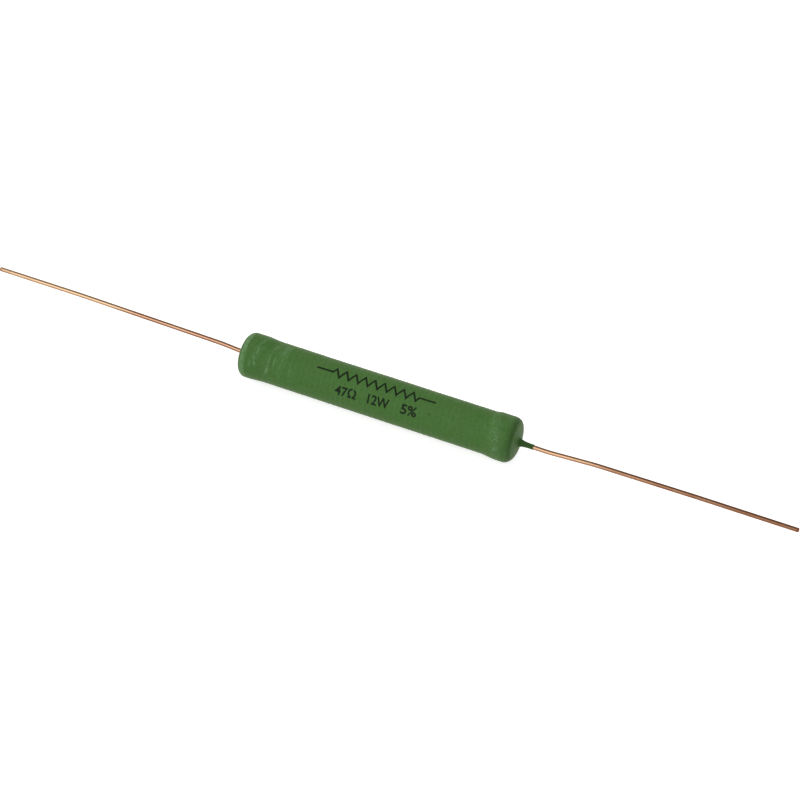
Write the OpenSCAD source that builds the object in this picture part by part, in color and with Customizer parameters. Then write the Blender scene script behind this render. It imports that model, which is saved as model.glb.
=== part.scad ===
// Axial wirewound resistor: a ceramic rod wound with resistance wire between two
// pressed end caps, a copper lead welded to each cap, and a cement coating over all.
// X runs along the leads, Z is up, and the origin is the middle of the rod on its axis.
// All sizes are in millimetres and all turns in degrees.

/* [Ceramic core] */
// Diameter of the ceramic rod
core_d = 6.5; // [5:0.1:9]
// Length of the ceramic rod
core_l = 52; // [36:0.5:62]

/* [End caps] */
// Thickness of the pressed steel
cap_wall = 0.35; // [0.25:0.01:0.4]
// Depth of a cap from its mouth to its outer face
cap_depth = 4.8; // [4:0.1:8]
// Outer rounding between a cap's face and its skirt
cap_corner = 0.9; // [0.6:0.05:1.2]
// Bevel inside the mouth that starts the cap onto the rod
cap_bevel = 0.12; // [0.05:0.01:0.2]
// Radial and end clearance between two pieces that seat on each other
seat_gap = 0.02; // [0.02:0.01:0.04]

/* [Resistance winding] */
// Diameter of the resistance wire
wire_d = 0.16; // [0.1:0.01:0.2]
// Distance from one turn to the next
pitch = 1.05; // [0.9:0.05:1.5]
// Turns that run on over each cap's skirt to the weld
skirt_turns = 1.25; // [0.75:0.25:2]
// Turn over which each end is pressed flat for its weld
weld_sweep = 54; // [36:18:90]
// Height of the flattened end against the wire's diameter
weld_flat = 0.55; // [0.4:0.05:0.9]

/* [Coating] */
// Cover over the winding
coat_cover = 0.53; // [0.5:0.01:1]
// Cover over the left cap's skirt
left_cover = 0.6; // [0.5:0.01:0.9]
// Cover over the right cap's skirt, where the coating ran thicker
right_cover = 0.63; // [0.5:0.01:0.9]
// Cover over each cap's face
end_cover = 0.6; // [0.6:0.05:1.2]
// Outer rounding of the coating's left end
left_corner = 1.3; // [0.8:0.1:1.8]
// Outer rounding of the coating's right end
right_corner = 1.7; // [0.8:0.1:1.8]
// Rise of each end face towards its lead
end_crown = 0.15; // [0.05:0.05:0.4]
// Length over which the left end swells from the barrel
left_flare = 3.2; // [1:0.1:3.6]
// Length over which the right end swells from the barrel
right_flare = 2.3; // [1:0.1:3.6]
// Distance from the left end face to the end of its swell
left_band = 1.9; // [1.7:0.1:3]
// Distance from the right end face to the end of its swell
right_band = 3.4; // [1.7:0.1:3.6]

/* [Coating run onto the leads] */
// Length of the run on the left lead
left_run = 0.7; // [0.6:0.1:4]
// Length of the run on the right lead
right_run = 3.3; // [0.6:0.1:4]
// Radius of each run where it leaves the end face
run_root_r = 1.05; // [0.8:0.05:1.6]
// Skin of coating at the far end of each run
run_skin = 0.09; // [0.05:0.01:0.2]

/* [Leads] */
// Diameter of the copper lead wire
lead_d = 0.8; // [0.6:0.05:1]
// Radius of the welded foot on the cap
foot_r = 0.72; // [0.6:0.02:0.8]
// Height of the welded foot
foot_h = 0.45; // [0.3:0.05:0.5]
// Radius of the bends, to the middle of the wire
bend_r = 14; // [8:1:20]
// Length of the left lead beyond its cap, along the object
left_reach = 52; // [46:0.2:60]
// Length of the right lead beyond its cap, along the object
right_reach = 53.2; // [46:0.2:60]

/* [Set of the left lead] */
// Lean at the weld, upwards
left_lean = 6; // [0:0.5:8]
// Distance from the weld to the first bend
left_first = 5.2; // [4:0.1:8]
// Lean after the first bend
left_second_lean = 1.2; // [0.5:0.1:3]
// Distance from the weld to the second bend
left_second = 35; // [20:0.5:38]

/* [Set of the right lead] */
// Lean at the weld, downwards
right_lean = 1.5; // [0:0.5:4]
// Distance from the weld to the first bend
right_first = 6.3; // [5:0.1:7]
// Lean after the first bend, upwards
right_second_lean = 4.2; // [3.5:0.1:6]
// Distance from the weld to the second bend
right_second = 15.4; // [10:0.2:16]
// Lean after the second bend, upwards
right_third_lean = 0.7; // [0.5:0.1:3]
// Distance from the weld to the third bend
right_third = 34; // [20:0.5:38]

/* [Hidden] */

CERAMIC = [0.93, 0.92, 0.88];
STEEL = [0.72, 0.72, 0.7];
RESISTANCE_ALLOY = [0.45, 0.44, 0.42];
COPPER = [0.8, 0.62, 0.48];
GREEN_CEMENT = [0.28, 0.41, 0.22];

LEFT = -1;
RIGHT = 1;
ROUND = 96;
FINE_ROUND = 48;
CUT = 1;
ROOT = 0.25;

core_r = core_d / 2;
core_end = core_l / 2;
cap_bore_r = core_r + seat_gap;
cap_r = cap_bore_r + cap_wall;
cap_face = core_end + seat_gap + cap_wall;
cap_mouth = cap_face - cap_depth;
cap_inner_corner = cap_corner - cap_wall;
core_corner = cap_inner_corner + seat_gap;

// The wire is a tube of flat-sided rings, so its chords dip below the rings.
WIRE_SIDES = 5;
RINGS_PER_TURN = 20;
ring_step = 360 / RINGS_PER_TURN;
chord_dip = cos(ring_step / 2);
wire_r = wire_d / 2;
wound_r = (core_r + seat_gap) / chord_dip + wire_r;
skirt_wound_r = (cap_r + seat_gap) / chord_dip + wire_r;
climb_sweep = acos(wound_r / skirt_wound_r);
climb_l = pitch * climb_sweep / 360;
ring_advance = pitch / RINGS_PER_TURN;
climb_end = cap_mouth - wire_r - seat_gap - ring_advance;
climb_start = climb_end - climb_l;
wire_end = cap_mouth + pitch * skirt_turns;
wire_turns = 2 * wire_end / pitch;
wire_rings = ceil(wire_turns * RINGS_PER_TURN);
weld_l = pitch * weld_sweep / 360;

barrel_r = wound_r + wire_r + coat_cover;
left_bulge_r = cap_r + left_cover;
right_bulge_r = cap_r + right_cover;
coat_end = cap_face + end_cover;
winding_space_r = wound_r + wire_r + seat_gap;
skirt_space_r = skirt_wound_r + wire_r + seat_gap;
skirt_space_start = climb_start - ring_advance - wire_r - seat_gap;
skirt_space_end = wire_end + wire_d;
FLARE_STEPS = 10;
CROWN_STEPS = 5;
CORNER_STEPS = 10;
RUN_STEPS = 8;

lead_r = lead_d / 2;
lead_hole_r = lead_r + seat_gap;
run_tip_r = lead_hole_r + run_skin;
lead_start = 0.1;
// Each bend overlaps the straight stretches that it joins, and is a hair thicker.
BEND_LAP = 1;
bent_r = 1.01 * lead_r;

// Each lead's leans in order, and where they begin, measured from the weld along the object
left_leans = [left_lean, left_second_lean, 0];
left_places = [0, left_first, left_second, left_reach];
right_leans = [-right_lean, right_second_lean, right_third_lean, 0];
right_places = [0, right_first, right_second, right_third, right_reach];

// Smooth step from 0 to 1, level at both ends
function ease(t) = t * t * (3 - 2 * t);

// How far x has gone from a to b, held between 0 and 1
function share(x, a, b) = max(0, min(1, (x - a) / (b - a)));

// Solid of revolution about X from a half profile whose x is along it and y is out
module turned(facets = ROUND) {
    rotate([0, 90, 0]) rotate_extrude($fn = facets) mirror([1, -1]) children();
}

// Half profile of a rod that is rounded at its far edge
module rounded_half(from, to, radius, corner) {
    translate([from, 0]) square([to - from - corner, radius]);
    translate([from, 0]) square([to - from, radius - corner]);
    translate([to - corner, radius - corner]) circle(corner, $fn = FINE_ROUND);
}

module ceramic_core() {
    color(CERAMIC) turned() {
        rounded_half(-CUT, core_end, core_r, core_corner);
        mirror([1, 0]) rounded_half(-CUT, core_end, core_r, core_corner);
    }
}

// Pressed cup that seats on the rod, with a bevelled mouth
module end_cap() {
    turned() difference() {
        rounded_half(cap_mouth, cap_face, cap_r, cap_corner);
        rounded_half(cap_mouth - CUT, cap_face - cap_wall, cap_bore_r, cap_inner_corner);
        polygon([[cap_mouth - CUT, cap_bore_r + cap_bevel + CUT], [cap_mouth + cap_bevel, cap_bore_r],
                 [cap_mouth - CUT, cap_bore_r]]);
    }
}

module left_end_cap() {
    color(STEEL) mirror([1, 0, 0]) end_cap();
}

module right_end_cap() {
    color(STEEL) end_cap();
}

// Share of the flattening at a place along X: 0 on the wire, 1 at its welded end
function flattening(x) = ease(share(abs(x), wire_end - weld_l, wire_end - weld_l / 2));
function wire_half_height(x) = wire_r * (1 - (1 - weld_flat) * flattening(x));
function wire_half_width(x) = wire_r * (1 + (1 - weld_flat) * flattening(x));

// Radius of the wire's middle: on the rod, climbing onto a skirt, then lowered to its weld
function wire_middle_r(x) =
    wound_r + (skirt_wound_r - wound_r) * share(abs(x), climb_start, climb_end)
    - (wire_r - wire_half_height(x));

// One ring of the wire, in the plane through the axis, at its place and turn
function wire_ring(x, turn) = [
    for (side = [0 : WIRE_SIDES - 1])
        let (
            angle = 360 * side / WIRE_SIDES,
            out = wire_middle_r(x) + wire_half_height(x) * cos(angle),
            along = x + wire_half_width(x) * sin(angle)
        )
        [along, out * cos(turn), out * sin(turn)]
];

module resistance_wire() {
    points = [
        for (ring = [0 : wire_rings])
            let (t = ring / wire_rings)
            each wire_ring(wire_end * (2 * t - 1), 360 * wire_turns * (t - 0.5))
    ];
    walls = [
        for (ring = [0 : wire_rings - 1], side = [0 : WIRE_SIDES - 1])
            let (
                here = ring * WIRE_SIDES,
                after = (side + 1) % WIRE_SIDES
            )
            [here + side, here + after, here + WIRE_SIDES + after, here + WIRE_SIDES + side]
    ];
    first_face = [for (side = [WIRE_SIDES - 1 : -1 : 0]) side];
    last_face = [for (side = [0 : WIRE_SIDES - 1]) wire_rings * WIRE_SIDES + side];
    color(RESISTANCE_ALLOY)
        polyhedron(points, concat([first_face], walls, [last_face]), convexity = 10);
}

// Outline of one end of the coating, from the barrel outwards to the axis
function coat_edge(bulge_r, flare, band, corner) =
    let (
        flare_start = coat_end - band - flare,
        face_r = bulge_r - corner
    )
    concat(
        [
            for (i = [0 : FLARE_STEPS])
                let (t = i / FLARE_STEPS)
                [flare_start + flare * t, barrel_r + (bulge_r - barrel_r) * ease(t)]
        ],
        [
            for (i = [0 : CORNER_STEPS])
                let (angle = 90 * i / CORNER_STEPS)
                [coat_end - corner * (1 - sin(angle)), face_r + corner * cos(angle)]
        ],
        [
            for (i = [1 : CROWN_STEPS])
                let (t = i / CROWN_STEPS)
                [coat_end + end_crown * (1 - (1 - t) * (1 - t)), face_r * (1 - t)]
        ]
    );

module coat_outline() {
    right = coat_edge(right_bulge_r, right_flare, right_band, right_corner);
    left = coat_edge(left_bulge_r, left_flare, left_band, left_corner);
    last = len(left) - 1;
    polygon(concat(right, [for (i = [last : -1 : 0]) [-left[i].x, left[i].y]]));
}

// Coating drawn out along a lead: it leaves the end face wide and thins to a skin
module lead_run(reach) {
    edge = [
        for (i = [0 : RUN_STEPS])
            let (t = i / RUN_STEPS)
            [end_cover + reach * t * t, run_tip_r + (run_root_r - run_tip_r) * pow(1 - t, 3)]
    ];
    turned(FINE_ROUND) polygon(concat(
        [[end_cover - ROOT, 0], [end_cover - ROOT, run_root_r]], edge, [[end_cover + reach, 0]]
    ));
}

// Hole for the lead through the end of the coating and its run
module lead_hole(reach) {
    rotate([0, 90, 0]) cylinder(end_cover + reach + CUT, r = lead_hole_r, $fn = FINE_ROUND);
}

// Space for a welded foot, one clearance larger than the foot
module foot_space() {
    turned(FINE_ROUND) polygon([
        [-ROOT, 0], [-ROOT, foot_r + seat_gap], [seat_gap, foot_r + seat_gap],
        [foot_h + seat_gap, lead_hole_r], [foot_h + seat_gap, 0]
    ]);
}

// Puts what starts at the origin along +X at a cap's weld, leaning upwards
module at_weld(side, lean = 0) {
    translate([side * cap_face, 0, 0]) mirror([side == LEFT ? 1 : 0, 0, 0])
        rotate([0, -lean, 0]) children();
}

// Spaces inside the coating: the winding, its turns on the skirts, and the caps
module coat_spaces() {
    turned() {
        translate([-cap_mouth, 0]) square([2 * cap_mouth, winding_space_r]);
        for (side = [0, 1]) mirror([side, 0]) {
            translate([skirt_space_start, 0])
                square([skirt_space_end - skirt_space_start, skirt_space_r]);
            rounded_half(cap_mouth - seat_gap, cap_face + seat_gap, cap_r + seat_gap,
                         cap_corner + seat_gap);
        }
    }
}

module coating() {
    color(GREEN_CEMENT) difference() {
        union() {
            turned() coat_outline();
            at_weld(LEFT, left_leans[0]) lead_run(left_run);
            at_weld(RIGHT, right_leans[0]) lead_run(right_run);
        }
        coat_spaces();
        at_weld(LEFT) foot_space();
        at_weld(RIGHT) foot_space();
        at_weld(LEFT, left_leans[0]) lead_hole(left_run);
        at_weld(RIGHT, right_leans[0]) lead_hole(right_run);
    }
}

// Height of a lead's middle at the start of a stretch, above its weld
function rise(index, leans, places) =
    index == 0 ? 0
        : rise(index - 1, leans, places)
            + (places[index] - places[index - 1]) * tan(leans[index - 1]);

// Wire that a bend of the given turn takes up on each side of its corner
function bend_share(turn) = bend_r * tan(abs(turn) / 2);

// Arc of wire that leaves the origin along +X and turns upwards, or downwards if negative
module bend(turn) {
    up = turn > 0;
    translate([0, 0, up ? bend_r : -bend_r]) rotate([90, 0, 0])
        rotate_extrude(angle = abs(turn) + 2 * BEND_LAP,
                       start = (up ? -90 : 90 - abs(turn)) - BEND_LAP, $fn = 4 * ROUND)
            translate([bend_r, 0]) circle(bent_r, $fn = FINE_ROUND);
}

// Copper wire on its welded foot, from the origin along +X through its leans
module lead(leans, places) {
    last = len(leans) - 1;
    turned(FINE_ROUND) polygon([[0, 0], [0, foot_r], [foot_h, lead_r], [foot_h, 0]]);
    for (i = [0 : last]) {
        from = i == 0 ? lead_start : bend_share(leans[i] - leans[i - 1]);
        to = (places[i + 1] - places[i]) / cos(leans[i])
            - (i == last ? 0 : bend_share(leans[i + 1] - leans[i]));
        translate([places[i], 0, rise(i, leans, places)]) rotate([0, 90 - leans[i], 0])
            translate([0, 0, from]) cylinder(to - from, r = lead_r, $fn = FINE_ROUND);
    }
    for (i = [1 : last]) {
        turn = leans[i] - leans[i - 1];
        translate([places[i], 0, rise(i, leans, places)]) rotate([0, -leans[i - 1], 0])
            translate([-bend_share(turn), 0, 0]) bend(turn);
    }
}

module left_lead() {
    color(COPPER) at_weld(LEFT) lead(left_leans, left_places);
}

module right_lead() {
    color(COPPER) at_weld(RIGHT) lead(right_leans, right_places);
}

ceramic_core();
left_end_cap();
right_end_cap();
resistance_wire();
left_lead();
right_lead();
coating();
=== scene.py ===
import math
import bmesh
import bpy
import numpy as np
from mathutils import Matrix, Vector


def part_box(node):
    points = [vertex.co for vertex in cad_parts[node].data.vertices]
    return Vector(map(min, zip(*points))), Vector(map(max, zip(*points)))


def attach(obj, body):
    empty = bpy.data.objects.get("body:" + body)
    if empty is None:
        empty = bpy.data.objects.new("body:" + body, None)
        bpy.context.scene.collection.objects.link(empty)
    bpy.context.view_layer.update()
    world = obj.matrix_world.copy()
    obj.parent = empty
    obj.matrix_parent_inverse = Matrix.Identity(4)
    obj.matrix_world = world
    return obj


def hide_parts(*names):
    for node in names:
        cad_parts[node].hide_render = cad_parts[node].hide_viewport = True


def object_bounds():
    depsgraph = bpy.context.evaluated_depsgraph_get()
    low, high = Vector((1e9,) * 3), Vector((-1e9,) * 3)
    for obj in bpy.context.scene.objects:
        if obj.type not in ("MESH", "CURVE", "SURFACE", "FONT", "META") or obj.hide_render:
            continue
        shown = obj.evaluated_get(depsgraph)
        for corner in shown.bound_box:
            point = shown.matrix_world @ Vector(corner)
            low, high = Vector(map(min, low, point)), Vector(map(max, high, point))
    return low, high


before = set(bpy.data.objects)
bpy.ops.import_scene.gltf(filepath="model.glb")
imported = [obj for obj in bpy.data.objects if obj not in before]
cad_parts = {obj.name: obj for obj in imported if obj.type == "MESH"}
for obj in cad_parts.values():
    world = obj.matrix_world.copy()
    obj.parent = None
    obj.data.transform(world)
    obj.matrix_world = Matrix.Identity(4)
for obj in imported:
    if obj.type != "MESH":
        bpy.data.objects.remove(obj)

bl_info = {
    "name": "Axial wirewound resistor",
    "version": (1, 0, 0),
    "blender": (4, 5, 0),
    "location": "View3D > Sidebar > Resistor",
    "description": "Cement-coated wirewound resistor with copper leads, around its packed frame",
    "category": "Add Mesh",
}

MM = 0.001
FRAME_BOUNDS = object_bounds()
CORE_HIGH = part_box("ceramic_core")[1]
CAP_LOW, CAP_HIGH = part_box("right_end_cap")
LEFT_LEAD_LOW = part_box("left_lead")[0]
RIGHT_LEAD_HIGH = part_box("right_lead")[1]
WINDING_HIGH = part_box("resistance_wire")[1]


def length_property(name, description, default, least=0.0):
    """A length in metres that the panel shows in the scene's own unit."""
    return bpy.props.FloatProperty(
        name=name, description=description, default=default, min=least, subtype="DISTANCE",
        unit="LENGTH", precision=5)


def angle_property(name, description, degrees):
    """An angle, given here in degrees and kept in radians."""
    return bpy.props.FloatProperty(
        name=name, description=description, default=math.radians(degrees), subtype="ANGLE",
        unit="ROTATION")


def number_property(name, description, default, most=1.0, unit="NONE"):
    """A number between 0 and its most."""
    return bpy.props.FloatProperty(name=name, description=description, default=default, min=0.0,
                                   max=most, unit=unit)


def colour_property(name, description, default):
    """A linear colour."""
    return bpy.props.FloatVectorProperty(name=name, description=description, default=default,
                                         size=3, min=0.0, max=1.0, subtype="COLOR")


class ResistorCoat(bpy.types.PropertyGroup):
    """Sizes and colours of the cement coating."""
    barrel_r: length_property("Barrel radius", "Radius between the two swellings", 4.02 * MM)
    left_r: length_property("Left swelling radius", "Radius over the left cap", 4.22 * MM)
    right_r: length_property("Right swelling radius", "Radius over the right cap", 4.25 * MM)
    half_length: length_property("Half length", "From the middle to each end face", 26.97 * MM)
    left_start: length_property("Left swell start", "Where the left swell begins", 21.6 * MM)
    left_full: length_property("Left swell end", "Where the left swell is full", 25.2 * MM)
    right_start: length_property("Right swell start", "Where the right swell begins", 20.9 * MM)
    right_full: length_property("Right swell end", "Where the right swell is full", 24.3 * MM)
    left_corner: length_property("Left rounding", "Rounding of the left end", 1.3 * MM)
    right_corner: length_property("Right rounding", "Rounding of the right end", 1.7 * MM)
    crown: length_property("Crown", "Rise of an end face towards its lead", 0.15 * MM)
    left_run: length_property("Left run", "Coating drawn out on the left lead", 0.7 * MM)
    right_run: length_property("Right run", "Coating drawn out on the right lead", 3.1 * MM)
    run_root_r: length_property("Run root", "Radius of a run at the end face", 1.25 * MM)
    run_tip_r: length_property("Run tip", "Radius of a run at its far end", 0.48 * MM)
    ridge: length_property("Ridge height", "Swell of the coating over each turn", 0.028 * MM)
    unevenness: length_property("Unevenness", "Slow waviness of the dipped coat", 0.016 * MM)
    green: colour_property("Cement green", "Colour of the cement", (0.0564, 0.151, 0.0297))
    # Also the painted highlight on the left rim, beside the scuffs and the dust.
    rubbed_and_highlight_green: colour_property("Rubbed green", "Colour where the surface is rubbed pale",
                            (0.130, 0.250, 0.105))
    # Also painted shade in the right rim's crease and on the left end face, beside the runs and the
    # thinner coat.
    thin_coat_and_shade_green: colour_property("Dark green", "Colour of the runs and wherever the coat is thin",
                                (0.022, 0.070, 0.010))
    roughness: number_property("Roughness", "Roughness of the cement", 0.56)


class ResistorLeads(bpy.types.PropertyGroup):
    """Sizes and colours of the copper leads."""
    wire_r: length_property("Wire radius", "Radius of the lead wire", 0.4 * MM)
    foot_r: length_property("Foot radius", "Radius of the welded foot", 0.72 * MM)
    foot_h: length_property("Foot height", "Height of the welded foot", 0.45 * MM)
    bend_width: length_property("Bend width", "Length over which a bend turns", 0.8 * MM)
    copper: colour_property("Copper", "Colour of the bright wire", (0.67, 0.37, 0.232))
    golden: colour_property("Golden copper", "Colour of the palest wire", (0.78, 0.535, 0.325))
    # Also painted shade on the leads' lower front side, beside the browned wire and cut ends.
    tarnish_and_shade: colour_property("Tarnish", "Colour of the browned wire", (0.195, 0.085, 0.043))
    roughness: number_property("Roughness", "Roughness of the drawn wire", 0.17)


class ResistorWinding(bpy.types.PropertyGroup):
    """Sizes of the resistance winding and the pieces under it."""
    wire_r: length_property("Wire radius", "Radius of the resistance wire", 0.08 * MM)
    pitch: length_property("Pitch", "Distance from turn to turn", 1.05 * MM)
    gap: length_property("Seat clearance", "Clearance between seated pieces", 0.02 * MM)
    cap_corner: length_property("Cap rounding", "Outer rounding of the caps", 0.9 * MM)
    alloy: colour_property("Alloy", "Colour of the resistance wire", (0.30, 0.28, 0.26))
    steel: colour_property("Steel", "Colour of the caps", (0.55, 0.55, 0.54))
    ceramic: colour_property("Ceramic", "Colour of the rod", (0.80, 0.78, 0.72))


class ResistorPrint(bpy.types.PropertyGroup):
    """Size, place and words of the print."""
    resistance: bpy.props.StringProperty(name="Resistance", description="Generic resistance",
                                         default="47Ω")
    power: bpy.props.StringProperty(name="Power", description="Generic power", default="12W")
    tolerance: bpy.props.StringProperty(name="Tolerance", description="Generic tolerance",
                                        default="5%")
    letter_height: length_property("Letter height", "Height of a digit", 1.85 * MM)
    thickness: length_property("Ink thickness", "Thickness of the ink", 0.012 * MM)
    stroke: length_property("Stroke", "Width of the symbol's line", 0.33 * MM)
    ink: colour_property("Ink", "Colour of the ink", (0.006, 0.014, 0.004))


class ResistorStage(bpy.types.PropertyGroup):
    """Camera and light of the stage."""
    azimuth: angle_property("Camera azimuth", "Turn of the camera about Z", 24.6)
    elevation: angle_property("Camera elevation", "Height of the camera", 45.3)
    distance: length_property("Camera distance", "Camera to the middle of the body", 540.0 * MM)
    lens: number_property("Lens", "Focal length in millimetres", 135.0, 1000.0, "CAMERA")
    aim_right: length_property("Aim right", "Aim to the right of the body's middle", 3.68 * MM,
                               least=-1.0)
    aim_down: length_property("Aim down", "Aim below the body's middle", 0.585 * MM, least=-1.0)
    sky: number_property("Sky", "Strength of the light from all round", 1.1, most=4.0)
    key: number_property("Key light", "Power of the key light", 0.15, most=20.0, unit="POWER")


GROUPS = {
    "coat": ResistorCoat, "leads": ResistorLeads, "winding": ResistorWinding,
    "print": ResistorPrint, "stage": ResistorStage,
}


class ResistorSizes(bpy.types.PropertyGroup):
    """All settings of the resistor, by group."""
    __annotations__ = {name: bpy.props.PointerProperty(type=kind) for name, kind in GROUPS.items()}


LEFT = -1.0
RIGHT = 1.0
WELD_X = float(CAP_HIGH[0])
CAP_MOUTH = float(CAP_LOW[0])
CAP_R = float(CAP_HIGH[2])
CORE_R = float(CORE_HIGH[2])

# Each lead's leans in order, upwards, and where they begin, measured from its weld
LEFT_LEANS = np.radians([6.0, 1.2, 0.0])
LEFT_BENDS = np.array([5.2, 35.0]) * MM
RIGHT_LEANS = np.radians([-1.5, 4.2, 0.7, 0.0])
RIGHT_BENDS = np.array([6.3, 15.4, 34.0]) * MM


def smooth(low, high, value):
    """0 below low, 1 above high, and the cubic 3t^2 - 2t^3 of the share t between them."""
    t = np.clip((value - low) / (high - low), 0.0, 1.0)
    return t * t * (3.0 - 2.0 * t)


def bell(distance, width):
    """exp(-(distance / width)^2): 1 at no distance, fading on both sides."""
    return np.exp(-(distance / width) ** 2)


def nearness(angle, middle):
    """(1 + cos(angle - middle)) / 2: 1 at the middle angle and 0 opposite it."""
    return 0.5 + 0.5 * np.cos(angle - middle)


def lead_height(side, distance, bend_width):
    """Height of a lead's middle at a distance from its weld along the object.

    The height is the first lean's rise, plus at each bend the change of slope times a ramp
    (u + sqrt(u^2 + w^2)) / 2 of the distance u past the bend, with w the bend's width.
    """
    leans, bends = (LEFT_LEANS, LEFT_BENDS) if side == LEFT else (RIGHT_LEANS, RIGHT_BENDS)
    slopes = np.tan(leans)
    past = distance[..., None] - bends
    ramps = (past + np.sqrt(past ** 2 + bend_width ** 2)) / 2.0
    start = (-bends + np.sqrt(bends ** 2 + bend_width ** 2)) / 2.0
    return slopes[0] * distance + ((ramps - start) * np.diff(slopes)).sum(axis=-1)


def wave(x, angle, seed, scale):
    """Slow unevenness, mostly in -1..1: a third of the sum of six sines of x and the angle.

    Each sine turns one to three times round the object. Its length along x, about the scale, and
    its phase come from the seed.
    """
    rng = np.random.default_rng(seed)
    turns = np.array([1, 1, 2, 2, 3, 3])
    lengths = scale * rng.uniform(0.6, 1.8, 6)
    phases = rng.uniform(0.0, 2.0 * np.pi, 6)
    total = sum(np.sin(2.0 * np.pi * x / length + turn * angle + phase)
                for turn, length, phase in zip(turns, lengths, phases))
    return total / 3.0


def grid_quads(rows, columns, loop_rows=False):
    """Quads of a grid whose columns close on themselves, and its rows too if asked."""
    row = np.arange(rows if loop_rows else rows - 1)[:, None]
    column = np.arange(columns)[None, :]
    after_row = (row + 1) % rows
    after_column = (column + 1) % columns
    corners = [row * columns + column, row * columns + after_column,
               after_row * columns + after_column, after_row * columns + column]
    return np.stack([np.broadcast_to(c, (row.size, columns)) for c in corners], -1).reshape(-1, 4)


def add_mesh(name, points, faces):
    """A mesh object at the origin from an array of points and a list of faces."""
    mesh = bpy.data.meshes.new(name)
    mesh.from_pydata(points.tolist(), [], faces)
    piece = bpy.data.objects.new(name, mesh)
    bpy.context.scene.collection.objects.link(piece)
    return piece


def closed_piece(name, points, quads, triangles=()):
    """A closed piece from arrays of points and faces, shaded smooth, with its faces outwards."""
    piece = add_mesh(name, points.reshape(-1, 3), quads.tolist() + np.array(triangles).tolist())
    piece.data.validate()
    piece.data.shade_smooth()
    turn_outwards(piece.data)
    return piece


def turn_outwards(mesh):
    """Flips a closed mesh whose signed volume, the sum of its corner tetrahedra, is negative."""
    mesh.calc_loop_triangles()
    corners = np.empty(len(mesh.vertices) * 3)
    mesh.vertices.foreach_get("co", corners)
    triangles = np.empty(len(mesh.loop_triangles) * 3, dtype=np.int64)
    mesh.loop_triangles.foreach_get("vertices", triangles)
    a, b, c = (corners.reshape(-1, 3)[triangles.reshape(-1, 3)[:, i]] for i in range(3))
    if np.einsum("ij,ij->", a, np.cross(b, c)) < 0.0:
        mesh.flip_normals()


def add_attribute(piece, name, values):
    """Puts one number for each vertex on a mesh, for its material to read."""
    layer = piece.data.attributes.new(name, "FLOAT", "POINT")
    layer.data.foreach_set("value", np.ascontiguousarray(values, dtype=np.float32).ravel())


def closed_tube(name, rings, poles):
    """A tube through rings of points, closed by triangles to a pole at each end."""
    count, sides = rings.shape[:2]
    first, last, pole = np.arange(sides), (count - 1) * sides, count * sides
    after = (first + 1) % sides
    triangles = np.concatenate([
        np.stack([after, first, np.full(sides, pole)], -1),
        np.stack([last + first, last + after, np.full(sides, pole + 1)], -1)])
    return closed_piece(name, np.concatenate([rings.reshape(-1, 3), poles]),
                        grid_quads(count, sides), triangles)


class Sock:
    """A shader socket. Arithmetic on it adds Math nodes to its tree."""

    def __init__(self, build, socket):
        self.build = build
        self.socket = socket

    def math(self, operation, *others, swap=False):
        """Adds one Math node whose inputs are this value and the other, swapped if asked."""
        inputs = (*others, self) if swap else (self, *others)
        return self.build.add("ShaderNodeMath", {"operation": operation}, dict(enumerate(inputs)))

    def __add__(self, other):
        return self.math("ADD", other)

    def __sub__(self, other):
        return self.math("SUBTRACT", other)

    def __rsub__(self, other):
        return self.math("SUBTRACT", other, swap=True)

    def __mul__(self, other):
        return self.math("MULTIPLY", other)

    def __pow__(self, other):
        return self.math("POWER", other)

    def clamped(self):
        """This value held between 0 and 1."""
        return self.build.add("ShaderNodeClamp", {}, {0: self})

    def between(self, low, high):
        """Smooth share of the way from low to high, which may be given either way round."""
        return self.build.add("ShaderNodeMapRange", {"interpolation_type": "SMOOTHSTEP"},
                              {"Value": self, "From Min": low, "From Max": high})

    __radd__ = __add__
    __rmul__ = __mul__


class Nodes:
    """A node tree under construction."""

    def __init__(self, tree):
        self.tree = tree

    def add(self, kind, settings, inputs, output=0):
        """Adds a node, applies its settings, fills its inputs and returns one of its outputs."""
        node = self.tree.nodes.new(kind)
        for name, value in settings.items():
            setattr(node, name, value)
        for key, value in inputs.items():
            if isinstance(value, Sock):
                self.tree.links.new(value.socket, node.inputs[key])
            else:
                node.inputs[key].default_value = value
        return Sock(self, node.outputs[output])

    def rays(self, *kinds):
        """1 for light paths of the kinds named, and 0 for all others."""
        first, *others = (self.add("ShaderNodeLightPath", {}, {}, f"Is {kind} Ray")
                          for kind in kinds)
        return sum(others, first).clamped()

    def split(self, vector):
        """The three numbers of a vector."""
        first = self.add("ShaderNodeSeparateXYZ", {}, {0: vector})
        return tuple(Sock(self, output) for output in first.socket.node.outputs)


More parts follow.
